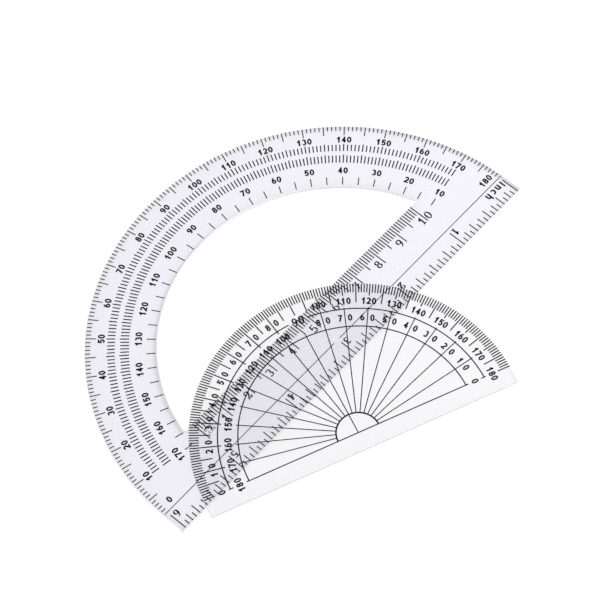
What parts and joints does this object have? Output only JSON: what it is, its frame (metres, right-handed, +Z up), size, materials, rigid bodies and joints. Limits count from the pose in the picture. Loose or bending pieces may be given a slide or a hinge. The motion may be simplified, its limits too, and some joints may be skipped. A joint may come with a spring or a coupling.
{
  "type": "protractor",
  "caption": "Clear half-round protractor with an open window, angle scales and rulers, and a smaller solid protractor leaning on its straight edge.",
  "frame": {"origin": "the large protractor's vertex, the centre of its arcs, on its underside", "axes": "+X along the large baseline from the 0 end to the 180 end of the outer scale, +Y towards the large arc, +Z up out of the printed face"},
  "size_m": [0.1548, 0.1281, 0.0033],
  "materials": {
    "large_plastic": "clear, polished, with a faint lavender tint",
    "small_plastic": "clear, polished, almost colourless",
    "print": "black printed ink"
  },
  "bodies": {
    "large_protractor": {"large_plate": "large_plastic", "large_outer_degree_ticks": "print", "large_outer_numerals": "print", "large_outer_band_ticks": "print", "large_inner_band_ticks": "print", "large_inner_numerals": "print", "large_inner_edge_ticks": "print", "large_baseline": "print", "large_cm_ticks": "print", "large_cm_numerals": "print", "large_cm_unit_mark": "print", "large_inch_ticks": "print", "large_inch_numerals": "print", "large_inch_unit_mark": "print"},
    "small_protractor": {"small_plate": "small_plastic", "small_degree_ticks": "print", "small_outer_numerals": "print", "small_outer_arc": "print", "small_inner_arc": "print", "small_inner_numerals": "print", "small_rays": "print", "small_centre_arc": "print", "small_baseline": "print"}
  },
  "joints": [
    {"name": "lift_off", "type": "slide", "parent": "large_protractor", "child": "small_protractor", "axis": [0, 0, 1], "range_m": [0, 0.05]}
  ]
}
